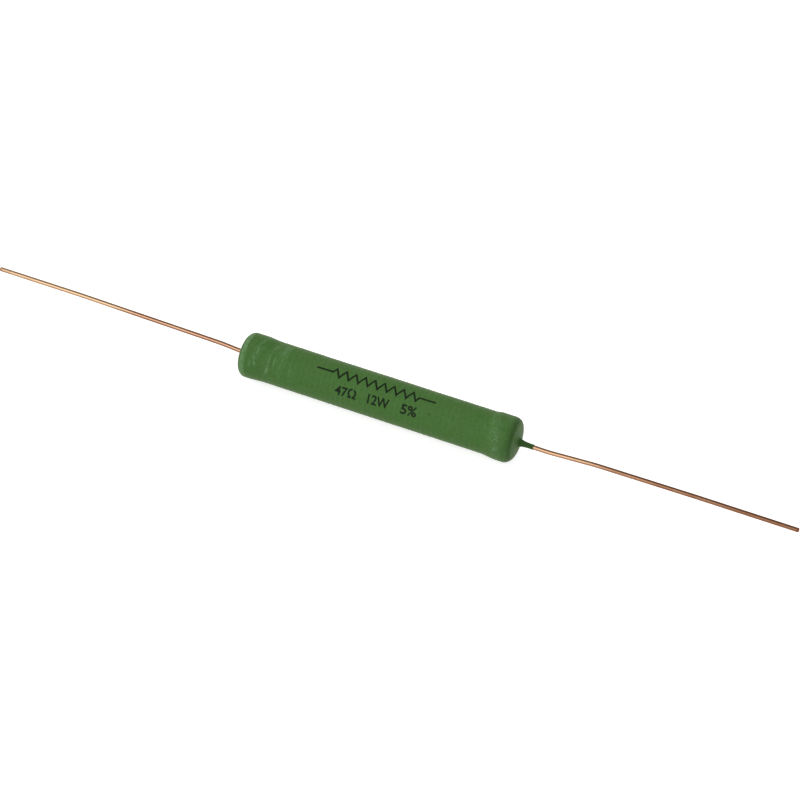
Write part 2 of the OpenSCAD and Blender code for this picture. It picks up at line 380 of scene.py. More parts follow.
class Finish(Nodes):
    """A procedural material under construction."""

    def __init__(self, name, **constants):
        self.material = bpy.data.materials.new(name)
        self.material.use_nodes = True
        super().__init__(self.material.node_tree)
        self.tree.nodes.clear()
        output = self.tree.nodes.new("ShaderNodeOutputMaterial")
        self.shader = self.tree.nodes.new("ShaderNodeBsdfPrincipled")
        self.tree.links.new(self.shader.outputs[0], output.inputs[0])
        for socket, value in constants.items():
            self.shader.inputs[socket.replace("_", " ")].default_value = value
        self.position = self.add("ShaderNodeTexCoord", {}, {}, "Object")

    def noise(self, scale, detail=3.0, roughness=0.5, vector=None):
        """Noise in 0..1 on object coordinates, or on the vector given."""
        return self.add("ShaderNodeTexNoise", {"noise_dimensions": "3D"}, {
            "Vector": vector or self.position, "Scale": scale, "Detail": detail,
            "Roughness": roughness})

    def streaks(self, along, across, detail=2.0):
        """Noise drawn out one way, from its scale along X and its scale across it."""
        drawn_out = self.add("ShaderNodeMapping", {"vector_type": "POINT"},
                             {"Vector": self.position, "Scale": (along, across, across)})
        return self.noise(1.0, detail, vector=drawn_out)

    def attribute(self, name):
        """A number stored on the mesh's vertices."""
        return self.add("ShaderNodeAttribute", {"attribute_name": name}, {}, "Fac")

    def mix(self, share, first, second):
        """Mix of two colours, each a socket or a linear colour."""
        inputs = {0: share, 6: self.colour(first), 7: self.colour(second)}
        return self.add("ShaderNodeMix", {"data_type": "RGBA"}, inputs, 2)

    @staticmethod
    def colour(value):
        """A colour with its alpha, or the socket as it is."""
        return value if isinstance(value, Sock) else (*value, 1.0)

    def bump(self, height, strength, distance):
        """Bump from a height in 0..1 that stands for the distance given."""
        return self.add("ShaderNodeBump", {}, {
            "Height": height, "Strength": strength, "Distance": distance})

    def finish(self, **links):
        """Links the sockets that vary and returns the material."""
        for socket, value in links.items():
            self.tree.links.new(value.socket, self.shader.inputs[socket.replace("_", " ")])
        return self.material


def settle(piece, material, slot, *nodes):
    """Gives a finished piece its material and its body, and hides the nodes that it stands for. Its
    slot is not used.
    """
    piece.data.materials.clear()
    piece.data.materials.append(material)
    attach(piece, "root")
    if nodes:
        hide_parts(*nodes)


def dress_node(node, material):
    """Gives a CAD node its material and leaves its shape alone."""
    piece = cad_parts[node]
    piece.data.materials.clear()
    piece.data.materials.append(material)


# Angles about X, from +Y towards +Z: of the side of the barrel that faces the camera, and of lines
# near its upper and its lower outline in the photograph's view
FACING = math.radians(132.0)
UPPER_OUTLINE = FACING - math.radians(70.0)
LOWER_OUTLINE = FACING + math.radians(60.0)

# A distance past the start of a corner, for places that no mark of the corner reaches
PAST_ALL = 9.0 * MM


def coat_swell(coat, side, x, angle):
    """Share of the swelling: 0 on the barrel, 1 over the cap on that side.

    It rises as a smooth step of the distance from the middle. Both ends of the step shift by a
    cosine of the angle, because the coat flares early and gently on one side and late on another.
    """
    upper = nearness(angle, UPPER_OUTLINE)
    if side == LEFT:
        start, full = coat.left_start - 1.2 * MM * upper, coat.left_full - 1.3 * MM * upper
    else:
        start, full = coat.right_start + 0.8 * MM * upper, coat.right_full - 1.4 * MM * upper
    return smooth(start, full, side * x)


def coat_radius(coat, x, angle):
    """Radius of the barrel with its two swellings, before ridges and unevenness."""
    left = coat_swell(coat, LEFT, x, angle) * (coat.left_r - coat.barrel_r)
    right = coat_swell(coat, RIGHT, x, angle) * (coat.right_r - coat.barrel_r)
    return coat.barrel_r + left + right


def ridge_crests(pitch, x, angle):
    """Crests over the turns, 0 to 1.

    A crest is (1 + cos(2 pi x / pitch - angle)) / 2, squared to narrow it. It dies away over the
    caps and in slow patches where the coat lies thicker.
    """
    crest = nearness(2.0 * np.pi * x / pitch, angle) ** 2
    over_winding = 1.0 - smooth(20.0 * MM, 23.5 * MM, np.abs(x))
    return crest * over_winding * (0.6 + 0.4 * wave(x, angle, 5, 9.0 * MM))


def coat_relief(coat, pitch, x, angle):
    """Height above the smooth coat: the crests over the turns, and two slow waves."""
    uneven = wave(x, angle, 11, 16.0 * MM) + 0.35 * wave(x, angle, 12, 4.0 * MM)
    return coat.ridge * ridge_crests(pitch, x, angle) + coat.unevenness * uneven


def outline_rows(x, radius, past_corner=PAST_ALL):
    """Rows of a half outline, each with x, the radius and the distance past the corner's start."""
    return np.stack(np.broadcast_arrays(x, radius, past_corner), -1)


def end_outline(coat, winding, side):
    """Closed half outline of one end of the coat, from its middle outside to its middle inside.

    It runs along the barrel at the swelling's full radius, round the corner as a quarter circle,
    over the face's parabolic crown, down a steep power curve into the run on the lead, then back
    along the lead's hole, the foot's cone and the spaces over the cap, its wire and the winding.
    Each column holds x, the radius, the distance past the start of the corner, and 1 outside.
    """
    corner, bulge_r, run = (coat.left_corner, coat.left_r, coat.left_run) if side == LEFT else (
        coat.right_corner, coat.right_r, coat.right_run)
    step = 0.115 * MM
    corner_x = coat.half_length - corner
    barrel_x = np.linspace(0.0, corner_x, int(corner_x / step))
    barrel = outline_rows(barrel_x, bulge_r, barrel_x - corner_x)
    turn = np.linspace(0.0, np.pi / 2.0, 18)[1:]
    face_r = bulge_r - corner
    edge = outline_rows(corner_x + corner * np.sin(turn), face_r + corner * np.cos(turn),
                        corner * turn)
    t = np.linspace(0.0, 1.0, 16)[1:]
    face = outline_rows(coat.half_length + coat.crown * (1.0 - (1.0 - t) ** 2),
                        face_r + (coat.run_root_r - face_r) * t,
                        corner * np.pi / 2.0 + (face_r - coat.run_root_r) * t)
    t = np.linspace(0.0, 1.0, 26)[1:]
    drawn = outline_rows(coat.half_length + coat.crown + (run - coat.crown) * t ** 1.6,
                         coat.run_tip_r + (coat.run_root_r - coat.run_tip_r) * (1.0 - t) ** 2.9)
    gap = winding.gap
    hole_r = 0.42 * MM
    lip_x = coat.half_length + run
    lip = outline_rows([lip_x + 0.02 * MM, lip_x], [(coat.run_tip_r + hole_r) / 2.0, hole_r])
    foot_x, foot_r = WELD_X + 0.47 * MM, 0.74 * MM
    hole = outline_rows(np.linspace(lip_x, foot_x, 8)[1:], hole_r)
    inner_face = WELD_X + gap
    foot = outline_rows([inner_face], foot_r)
    cap_corner = winding.cap_corner + gap
    cap_r = CAP_R + gap
    turn = np.linspace(np.pi / 2.0, 0.0, 8)
    inner_corner = outline_rows(inner_face - cap_corner + cap_corner * np.sin(turn),
                                cap_r - cap_corner + cap_corner * np.cos(turn))
    wire_x = float(WINDING_HIGH[0]) + 0.08 * MM
    wire_r = float(WINDING_HIGH[2]) + gap
    step_x = CAP_MOUTH - 0.38 * MM
    winding_r = CORE_R + 0.24 * MM
    spaces = outline_rows([wire_x, wire_x, step_x, step_x, step_x / 2.0, 0.0],
                          [cap_r, wire_r, wire_r, winding_r, winding_r, winding_r])
    outside = np.concatenate([barrel, edge, face, drawn])
    rows = np.concatenate([outside, lip, hole, foot, inner_corner, spaces])
    x, radius, past_corner = rows.T
    return np.stack([side * x, radius, past_corner, np.arange(len(rows)) < len(outside)])


def crease_mark(coat, past_corner, angle):
    """The right rim's crease, a shallow groove that is painted dark as shade: a bell curve of the
    distance from its middle line.

    The middle line lies round the corner by 42 degrees, give or take 16 by the cosine of the
    angle, so the crease wanders from the barrel's side to the face's side. The bell is slightly
    wider on the face's side.
    """
    around = math.radians(42.0) + math.radians(16.0) * np.cos(angle - math.radians(170.0))
    aside = past_corner - coat.right_corner * around
    width = np.where(aside < 0.0, 0.4 * MM, 0.42 * MM)
    return bell(aside, width)


# Middle of the small dark speck on the barrel
SPECK_R, SPECK_ANGLE = 4.0 * MM, math.radians(135.3)
SPECK_PLACE = (11.07 * MM, SPECK_R * math.cos(SPECK_ANGLE), SPECK_R * math.sin(SPECK_ANGLE))

# Pale scuffs on the left end: x in mm at the first angle and at the last one, half width in mm,
# the two angles in degrees, and strength
SCUFFS = (
    (-22.5, -23.3, 0.08, 55.0, 104.0, 0.8),
    (-23.2, -23.6, 0.13, 96.0, 150.0, 0.8),
    (-23.6, -23.3, 0.22, 128.0, 158.0, 0.8),
    (-24.1, -24.25, 0.11, 142.0, 162.0, 0.6),
    (-22.3, -22.9, 0.07, 88.0, 126.0, 0.5),
    (-19.8, -20.9, 0.10, 62.0, 112.0, 0.65),
    (-20.75, -20.9, 0.13, 104.0, 156.0, 0.6),
    (-20.9, -20.85, 0.24, 148.0, 170.0, 0.9),
    (-18.6, -19.3, 0.20, 68.0, 100.0, 0.95),
    (-19.4, -19.9, 0.13, 92.0, 142.0, 0.6),
    (-18.0, -18.75, 0.10, 64.0, 124.0, 1.0),
    (-18.75, -18.0, 0.07, 118.0, 178.0, 0.4),
    (-17.85, -17.8, 0.07, 88.0, 140.0, 0.5),
    (-16.9, -16.4, 0.06, 110.0, 170.0, 0.4),
    (21.2, 21.7, 0.14, 108.0, 130.0, 0.4),
    (-22.0, -22.1, 0.12, 230.0, 285.0, 0.7),
    (-19.6, -19.4, 0.14, 250.0, 330.0, 0.6),
    (-23.8, -23.9, 0.12, 300.0, 350.0, 0.7),
)


def scuff_marks(x, angle):
    """Rubbed arcs round the left end.

    Each is a bell curve of the distance from a line that drifts in x with the angle, times a
    smooth fade at both ends of its span. It has four fainter hairlines beside it, at random by up
    to 0.6 mm and 16 degrees. The strongest line counts at each place.
    """
    hair_aside, hair_turn, hair_width, hair_weight = 0.6, 16.0, 0.05, 0.7
    rng = np.random.default_rng(7)
    marks = np.zeros(np.broadcast(x, angle).shape)
    for first_x, last_x, width, first, last, strength in SCUFFS:
        for hair in range(5):
            aside, sooner, later = rng.uniform(-1.0, 1.0, 3) * (hair > 0)
            start = math.radians(first + hair_turn * sooner)
            end = math.radians(last + hair_turn * later)
            share = (angle - start) / (end - start)
            line = (first_x + (last_x - first_x) * share + hair_aside * aside) * MM
            span = smooth(0.0, 0.25, share) * smooth(1.0, 0.75, share)
            thin = (hair_width if hair else width) * MM
            weight = strength * (hair_weight if hair else 1.0)
            marks = np.maximum(marks, weight * span * bell(x - line, thin))
    return marks


def dusty_zone(x, angle):
    """The pale speckled belt over the right cap.

    It is a bell curve of the distance from a line, which drifts outwards by 1.4 mm between 40 and
    205 degrees. Its strength grows with the cube of the nearness to 155 degrees.
    """
    line = 22.85 * MM + 1.4 * MM * smooth(math.radians(40.0), math.radians(205.0), angle)
    return bell(x - line, 0.72 * MM) * (0.2 + nearness(angle, math.radians(155.0)) ** 3)


def coat_marks(settings, x, angle, past_corner, outside, crease):
    """Where the coat's finish changes: one number for each vertex and each kind of mark.

    The left rim's pale band, partly rubbed and partly a painted highlight, is a smooth step past an
    edge that wavers and lies further in on the lower side, and it fades out on the end face. The
    mark thin holds painted shade in the right rim's crease and over the left end face, and a
    thinner coat slightly over the right swelling, but not over its end face. Dust lies in the belt,
    and slightly over the right swelling and its end face. Nothing is on the inside.
    """
    waver = 0.12 * MM * wave(x, angle, 21, 9.0 * MM)
    rim_edge = -0.09 * MM - 0.4 * MM * nearness(angle, LOWER_OUTLINE) + waver
    # The left rim's pale band: partly rubbed, partly a painted highlight.
    left_rim = smooth(0.0, 0.2 * MM, past_corner - rim_edge) * (x < 0.0) * outside
    # Painted shade over the left end face.
    left_face = smooth(0.45 * MM, 1.0 * MM, past_corner) * (x < 0.0) * outside
    right_face = smooth(1.6 * MM, 2.3 * MM, past_corner) * (x > 0.0) * outside
    swollen = smooth(23.4 * MM, 24.4 * MM, x) * outside
    return {
        "scuffed": scuff_marks(x, angle) * outside,
        "left_rim": left_rim * smooth(1.0 * MM, 0.45 * MM, past_corner),
        # thin holds painted shade in the crease and on the left end face, and a thinner coat over
        # the right swelling.
        "thin": 0.8 * crease + 1.15 * left_face + 0.25 * (swollen - right_face),
        "crest": ridge_crests(settings.winding.pitch, x, angle) * outside,
        "dusty": dusty_zone(x, angle) * outside + 0.2 * swollen + 0.15 * right_face,
    }


def coating_piece(settings):
    """The coat as one closed shell: its outline turned about X, then displaced.

    The outside shrinks from the swelling's full radius to the barrel's by the share of the swell,
    and takes the relief, the crease and the bulge of the right shoulder along its radius. Each
    swelling is shifted a little off the axis. Near the leads, everything follows the lead's lean:
    z grows by the lead's height.
    """
    coat, winding = settings.coat, settings.winding
    right = end_outline(coat, winding, RIGHT)
    left = end_outline(coat, winding, LEFT)[:, ::-1][:, 1:-1]
    x, radius, past_corner, outside = (row[:, None] for row in np.concatenate([right, left], 1))
    sides = 144
    angle = np.linspace(0.0, 2.0 * np.pi, sides, endpoint=False)[None, :]
    crease_depth, shoulder_bulge = 0.03 * MM, 0.13 * MM
    body = smooth(1.0 * MM, 2.4 * MM, radius) * outside
    full_r = np.where(x < 0.0, coat.left_r, coat.right_r)
    shrink = coat_radius(coat, x, angle) - full_r
    # The crease mask cuts a shallow groove, and coat_marks paints shade along it.
    crease = crease_mark(coat, past_corner, angle) * (x > 0.0) * outside
    relief = coat_relief(coat, winding.pitch, x, angle) - crease_depth * crease
    shoulder = bell(past_corner - 1.3 * MM, 0.8 * MM) * (x > 0.0)
    relief = relief + shoulder_bulge * shoulder * nearness(angle, UPPER_OUTLINE) ** 2
    out = radius + (shrink + relief) * body
    shift_left = coat_swell(coat, LEFT, x, angle) * body
    shift_right = coat_swell(coat, RIGHT, x, angle) * body
    y = out * np.cos(angle) + 0.02 * MM * (shift_left - shift_right)
    z = out * np.sin(angle) + 0.03 * MM * shift_left - 0.04 * MM * shift_right
    past_weld = np.clip(np.abs(x) - WELD_X, 0.0, None)[:, 0]
    left_height, right_height = (lead_height(side, past_weld, settings.leads.bend_width)[:, None]
                                 for side in (LEFT, RIGHT))
    height = np.where(x < 0.0, left_height, right_height)
    z = z + height * (1.0 - smooth(1.1 * MM, 2.2 * MM, radius))
    points = np.stack([np.broadcast_to(x, y.shape), y, z], -1)
    piece = closed_piece("coating_shell", points, grid_quads(x.size, sides, loop_rows=True))
    for name, values in coat_marks(settings, x, angle, past_corner, outside, crease).items():
        add_attribute(piece, name, values)
    return piece


def scaled(colour, *factors):
    """A colour with each channel times its own factor, or all of them times one."""
    return tuple(np.multiply(colour, factors).tolist())


def cement_finish(coat):
    """Green cement: mottled, grainy and brushed round, and paler on the crests over the turns.

    It is rubbed pale in the scuffs, pale on the left rim, partly rubbed and partly as a painted
    highlight, and speckled with dust over the right cap. It is darker where the coat is thin, on
    the runs along the leads and at one small dark speck, and painted darker as shade in the right
    rim's crease and on the left end face.
    """
    finish = Finish("green_cement", Specular_IOR_Level=0.15, Sheen_Weight=0.12,
                    Sheen_Roughness=0.4, Sheen_Tint=(1.0, 0.84, 0.58, 1.0))
    x, y, z = finish.split(finish.position)
    mottle = finish.noise(330.0)
    grain = finish.noise(2900.0, roughness=0.65)
    bands = finish.streaks(900.0, 130.0)
    brushed = finish.streaks(2600.0, 260.0)
    broken = finish.streaks(2600.0, 900.0, detail=3.0)
    base = finish.mix(mottle.between(0.35, 0.65), scaled(coat.green, 1.06, 0.96, 1.08),
                      scaled(coat.green, 0.94, 1.03, 0.92))
    base = finish.mix(bands.between(0.4, 0.7) * 0.5, base, scaled(coat.green, 1.15, 1.0, 1.12))
    base = finish.mix(brushed.between(0.4, 0.65) * 0.6, base, scaled(coat.green, 1.22, 1.08, 1.3))
    base = finish.mix(grain.between(0.34, 0.62), scaled(coat.green, 0.82, 0.88, 0.77), base)
    base = finish.mix(finish.attribute("crest") * 0.35, base, scaled(coat.green, 1.3, 1.14, 1.5))

    scuffed = finish.attribute("scuffed") * (broken.between(0.4, 0.58) * 0.9 + 0.1)
    flakes = finish.noise(1500.0, detail=2.0).between(0.35, 0.6)
    # Pale left rim: partly rubbed, partly a painted highlight.
    rim = finish.attribute("left_rim") * (flakes * 0.5 + 0.32)
    patches = finish.noise(900.0, detail=2.0).between(0.3, 0.6)
    flecks = finish.noise(3000.0, detail=1.0).between(0.42, 0.62)
    specks = (flecks * 0.8 + 0.2) * finish.attribute("dusty") * (patches * 0.6 + 0.4)
    dust = finish.noise(3600.0, detail=0.0).between(0.7, 0.78) * 0.3
    pale = (scuffed * 1.25 + rim + specks + dust).clamped()
    base = finish.mix(pale, base, coat.rubbed_and_highlight_green)

    past_face = x.math("ABSOLUTE").between(27.05 * MM, 27.5 * MM)
    radius = (y * y + z * z) ** 0.5
    run = radius.between(1.1 * MM, 0.8 * MM) * past_face
    from_speck = finish.add("ShaderNodeVectorMath", {"operation": "DISTANCE"},
                            {0: finish.position, 1: SPECK_PLACE}, "Value")
    speck = from_speck.between(0.27 * MM, 0.13 * MM)
    # Painted shade: the thin mark darkens the right rim's crease and the left end face, beside the
    # thinner coat over the right swelling; the runs and the speck are the coat's own dark.
    dark = (finish.attribute("thin") * 0.55 + run * 0.8 + speck).clamped()
    base = finish.mix(dark, base, coat.thin_coat_and_shade_green)
    normal = finish.bump(grain * 0.6 + mottle * 0.25 + broken * 0.15, 0.4, 0.02 * MM)
    rough = coat.roughness + (grain - 0.5) * 0.2 + pale * 0.08
    return finish.finish(Base_Color=base, Roughness=rough, Normal=normal)


def lead_piece(settings, side, name, end_x, rounding):
    """One lead: a straight-sided wire on a concave welded foot, with a rounded far end.

    The foot's radius falls from foot to wire as (1 - s)^2 of the height s. The far end's radius
    is the wire's times sqrt(1 - 0.96 q^2), where q is the share of the rounding that is passed, so
    a small flat is left. Every ring is upright, with y = r sin(a) and z = height + r cos(a) for
    the angle a round the wire. The attribute underside_shade is a smooth step of cos(a + 125
    degrees),
    1 on the lower front side, where the copper is painted dark as shade.
    """
    leads = settings.leads
    reach = end_x - WELD_X
    foot = np.linspace(0.0, leads.foot_h, 10)
    shaft = np.linspace(leads.foot_h, reach - rounding, 150)[1:]
    tip = reach - rounding + rounding * np.sin(np.linspace(0.0, np.pi / 2.0, 9)[1:])
    distance = np.concatenate([foot, shaft, tip])
    fall = np.clip(1.0 - distance / leads.foot_h, 0.0, 1.0) ** 2
    passed = np.clip((distance - (reach - rounding)) / rounding, 0.0, 1.0)
    radii = leads.wire_r + (leads.foot_r - leads.wire_r) * fall
    radii = radii * np.sqrt(1.0 - 0.96 * passed ** 2)
    heights = lead_height(side, distance, leads.bend_width)
    sides = 40
    x = side * (WELD_X + distance)
    angle = np.linspace(0.0, 2.0 * np.pi, sides, endpoint=False)
    rings = np.stack([np.broadcast_to(x[:, None], (x.size, sides)),
                      radii[:, None] * np.sin(angle),
                      heights[:, None] + radii[:, None] * np.cos(angle)], -1)
    poles = np.array([[x[0], 0.0, heights[0]], [x[-1], 0.0, heights[-1]]])
    piece = closed_tube(name, rings, poles)
    # Painted shade: marks the wire's lower front side, which the copper's finish darkens.
    underside_shade = smooth(0.12, 0.85, np.cos(angle + math.radians(125.0)))
    add_attribute(piece, "underside_shade", np.append(np.tile(underside_shade, x.size), [0.5, 0.5]))
    return piece


def copper_finish(leads):
    """Bare drawn copper: fine lines along the wire, golden and rosy stretches, a brown right
    half, painted shade as brown on the lower front side, and brown cut ends.
    """
    finish = Finish("drawn_copper", Metallic=1.0, Specular_Tint=(0.62, 0.36, 0.24, 1.0))
    along = finish.split(finish.position)[0]
    lines = finish.streaks(240.0, 7000.0)
    blotch = finish.streaks(220.0, 900.0, detail=3.0)
    stretches = finish.streaks(90.0, 10.0, detail=1.0)
    golden = along.between(-49.0 * MM, -56.0 * MM)
    fresh = along.between(10.0 * MM, 20.0 * MM) * along.between(47.0 * MM, 38.0 * MM)
    pale = (stretches.between(0.4, 0.65) * 0.35 + golden + fresh * 0.3).clamped()
    base = finish.mix(pale, leads.copper, leads.golden)
    right = along.between(37.0 * MM, 46.0 * MM) * 0.5 + along.between(46.0 * MM, 72.0 * MM) * 0.3
    ends = along.between(-77.8 * MM, -78.1 * MM) + along.between(79.1 * MM, 79.5 * MM)
    left_half = along.between(10.0 * MM, -10.0 * MM)
    # Painted shade: brown on the wire's lower front side, more on the left half.
    underside_shade = finish.attribute("underside_shade") * (left_half * 0.4 + 0.75 - golden * 0.4 - right * 0.7)
    tarnish_and_shade = (right + blotch.between(0.45, 0.75) * 0.2 + underside_shade + ends * 0.8).clamped()
    base = finish.mix(tarnish_and_shade, base, leads.tarnish_and_shade)
    rough = leads.roughness + (blotch - 0.5) * 0.15 + tarnish_and_shade * 0.1
    return finish.finish(Base_Color=base, Roughness=rough,
                         Normal=finish.bump(lines, 0.25, 0.008 * MM))


def winding_piece(settings):
    """The resistance wire as a round helix on the rod, which climbs each cap's skirt.

    A ring at x stands at the angle 2 pi x / pitch. Its middle is one wire radius off the rod,
    climbs over the last stretch before a cap's mouth, and is pressed flat at its weld.
    """
    winding = settings.winding
    sides, rings_per_turn = 8, 36
    dip = math.cos(math.pi / rings_per_turn)
    rod_r = (CORE_R + winding.gap) / dip + winding.wire_r
    skirt_r = (CAP_R + winding.gap) / dip + winding.wire_r
    end_x = float(WINDING_HIGH[0]) - 1.45 * winding.wire_r
    count = int(2.0 * end_x / winding.pitch * rings_per_turn)
    x = np.linspace(-end_x, end_x, count)
    climb_end = CAP_MOUTH - winding.wire_r - winding.gap - winding.pitch / rings_per_turn
    climb_start = climb_end - 0.08 * MM
    climb = np.clip((np.abs(x) - climb_start) / (climb_end - climb_start), 0.0, 1.0)
    flattening = 0.45
    flat = flattening * smooth(end_x - 0.16 * MM, end_x - 0.08 * MM, np.abs(x))
    half_height = winding.wire_r * (1.0 - flat)
    half_width = winding.wire_r * (1.0 + flat)
    middle = rod_r + (skirt_r - rod_r) * climb - (winding.wire_r - half_height)
    around = np.linspace(0.0, 2.0 * np.pi, sides, endpoint=False)
    out = middle[:, None] + half_height[:, None] * np.cos(around)
    along = x[:, None] + half_width[:, None] * np.sin(around)
    turn = (2.0 * np.pi * x / winding.pitch)[:, None]
    rings = np.stack([along, out * np.cos(turn), out * np.sin(turn)], -1)
    return closed_tube("winding_wire", rings, rings[[0, -1]].mean(axis=1))


def metal_finish(name, colour, roughness, along, across):
    """Plain worked metal: tool lines, from their scale along X and across it, and dull blotches."""
    finish = Finish(name, Metallic=1.0)
    lines = finish.streaks(along, across)
    blotch = finish.noise(700.0)
    base = finish.mix(blotch.between(0.35, 0.75) * 0.5, colour, scaled(colour, 0.7))
    rough = roughness + (blotch - 0.5) * 0.2
    return finish.finish(Base_Color=base, Roughness=rough,
                         Normal=finish.bump(lines, 0.3, 0.01 * MM))


def ceramic_finish(colour):
    """Unglazed ceramic: warm white with fine grey grains and a dry, pitted surface."""
    finish = Finish("rod_ceramic", Specular_IOR_Level=0.3)
    grain = finish.noise(4200.0)
    cloud = finish.noise(260.0, detail=2.0)
    base = finish.mix(grain.between(0.55, 0.75) * 0.4, colour, scaled(colour, 0.72))
    base = finish.mix(cloud.between(0.4, 0.8) * 0.25, base, scaled(colour, 0.88))
    return finish.finish(Base_Color=base, Roughness=grain * 0.2 + 0.7,
                         Normal=finish.bump(grain, 0.4, 0.02 * MM))


def print_on_barrel(settings, flat, centre_x, centre_angle, slope):
    """Flat print laid on the barrel.

    A point (s, t) of the flat print first turns by the slope. Its s then runs along X and its t
    round the barrel, as an angle of t over the radius, just off the coat's surface.
    """
    lift = 0.002 * MM
    coat = settings.coat
    s = flat[:, 0] * math.cos(slope) - flat[:, 1] * math.sin(slope)
    t = flat[:, 0] * math.sin(slope) + flat[:, 1] * math.cos(slope)
    x = centre_x + s
    angle = centre_angle - t / coat.barrel_r
    relief = coat_relief(coat, settings.winding.pitch, x, angle)
    radius = coat_radius(coat, x, angle) + relief + lift
    return np.stack([x, radius * np.cos(angle), radius * np.sin(angle)], -1)


def ink_finish(ink):
    """Stamped ink: nearly black green, thin in specks where the cement's grain shows."""
    finish = Finish("stamp_ink", Specular_IOR_Level=0.12)
    thin = finish.noise(3600.0, detail=2.0).between(0.58, 0.75)
    base = finish.mix(thin * 0.6, ink, scaled(ink, 3.5))
    return finish.finish(Base_Color=base, Roughness=thin * 0.1 + 0.6)


def thicken(piece, thickness):
    """Gives a thin sheet of ink its thickness, outwards."""
    solid = piece.modifiers.new("ink", "SOLIDIFY")
    solid.thickness = thickness
    solid.offset = 1.0


def word_sheet(word, width, height):
    """A word as a flat sheet about its middle: its corners, and its faces cut into thin strips."""
    boldness, strips = 0.022, 13
    curve = bpy.data.curves.new("word", "FONT")
    curve.body = word
    curve.offset = boldness
    curve.align_x = "CENTER"
    writer = bpy.data.objects.new("word", curve)
    bpy.context.scene.collection.objects.link(writer)
    bpy.context.view_layer.update()
    mesh = bpy.data.meshes.new_from_object(writer)
    bpy.data.objects.remove(writer)
    cut = bmesh.new()
    cut.from_mesh(mesh)
    bmesh.ops.remove_doubles(cut, verts=cut.verts, dist=1e-5)
    levels = [v.co.y for v in cut.verts]
    for level in np.linspace(min(levels), max(levels), strips + 1)[1:-1]:
        bmesh.ops.bisect_plane(cut, geom=cut.verts[:] + cut.edges[:] + cut.faces[:],
                               plane_co=(0.0, float(level), 0.0), plane_no=(0.0, 1.0, 0.0))
    cut.to_mesh(mesh)
    cut.free()
    flat = np.empty(len(mesh.vertices) * 3)
    mesh.vertices.foreach_get("co", flat)
    flat = flat.reshape(-1, 3)[:, :2]
    low, high = flat.min(0), flat.max(0)
    flat = (flat - (low + high) / 2.0) / (high - low) * np.array([width, height])
    faces = [tuple(face.vertices) for face in mesh.polygons]
    bpy.data.meshes.remove(mesh)
    return flat, faces


def rating_piece(settings):
    """The lower row: three generic words, each with its own middle along the row and its width."""
    sizes = settings.print
    words = (
        (sizes.resistance, -5.9 * MM, 4.15 * MM),
        (sizes.power, 0.51 * MM, 4.15 * MM),
        (sizes.tolerance, 6.45 * MM, 3.1 * MM),
    )
    corners, faces = np.empty((0, 2)), []
    for word, middle, width in words:
        flat, word_faces = word_sheet(word, width, sizes.letter_height)
        faces += [tuple(corner + len(corners) for corner in face) for face in word_faces]
        corners = np.concatenate([corners, flat + np.array([middle, 0.0])])
    placed = print_on_barrel(settings, corners, 0.74 * MM, math.radians(145.4), math.radians(1.7))
    return add_mesh("print_rating", placed, faces)


def symbol_piece(settings):
    """The upper row: a drawn zigzag between two straight lines, as one mitred band.

    The line's height is a triangle wave of its length, inside the zigzag and 0 outside. The band
    is the line offset by half its width along its normal, which is averaged at the corners.
    """
    half_line, half_zigzag, peak_height, peaks = 11.6 * MM, 8.4 * MM, 0.8 * MM, 9
    s = np.unique(np.concatenate([
        np.linspace(-half_line, half_line, 400),
        np.linspace(-half_zigzag, half_zigzag, 4 * peaks + 1),
    ]))
    phase = (s + half_zigzag) / (2.0 * half_zigzag) * peaks
    triangle = 2.0 * np.abs(2.0 * ((phase + 0.25) % 1.0) - 1.0) - 1.0
    t = np.where(np.abs(s) < half_zigzag, -peak_height * triangle, 0.0)
    line = np.stack([s, t], -1)
    step = np.diff(line, axis=0)
    step /= np.linalg.norm(step, axis=1)[:, None]
    normal = np.stack([-step[:, 1], step[:, 0]], -1)
    mitre = np.vstack([normal[:1], normal]) + np.vstack([normal, normal[-1:]])
    mitre *= 2.0 / np.einsum("ij,ij->i", mitre, mitre)[:, None]
    half_width = settings.print.stroke / 2.0
    offsets = np.linspace(-half_width, half_width, 3)
    flat = (line[:, None, :] + mitre[:, None, :] * offsets[None, :, None]).reshape(-1, 2)
    placed = print_on_barrel(settings, flat, -0.15 * MM, math.radians(104.6), math.radians(1.1))
    first = (np.arange(len(s) - 1)[:, None] * 3 + np.arange(2)).ravel()
    quads = np.stack([first, first + 3, first + 4, first + 1], -1)
    return add_mesh("print_symbol", placed, quads.tolist())


def face_outwards(piece):
    """Turns a sheet on the barrel so that its faces look away from the axis."""
    mesh = piece.data
    normals = np.empty(len(mesh.polygons) * 3)
    centres = np.empty(len(mesh.polygons) * 3)
    mesh.polygons.foreach_get("normal", normals)
    mesh.polygons.foreach_get("center", centres)
    outward = (normals.reshape(-1, 3) * centres.reshape(-1, 3))[:, 1:].sum()
    if outward < 0.0:
        mesh.flip_normals()


class RESISTOR_OT_core(bpy.types.Operator):
    """Dress the ceramic rod"""
    bl_idname = "resistor.core"
    bl_label = "Ceramic core"

    def execute(self, context):
        dress_node("ceramic_core", ceramic_finish(context.scene.resistor.winding.ceramic))
        return {"FINISHED"}


class RESISTOR_OT_caps(bpy.types.Operator):
    """Dress the two pressed end caps"""
    bl_idname = "resistor.caps"
    bl_label = "End caps"

    def execute(self, context):
        steel = metal_finish("cap_steel", context.scene.resistor.winding.steel, 0.35, 3000.0, 200.0)
        for node in ("left_end_cap", "right_end_cap"):
            dress_node(node, steel)
        return {"FINISHED"}


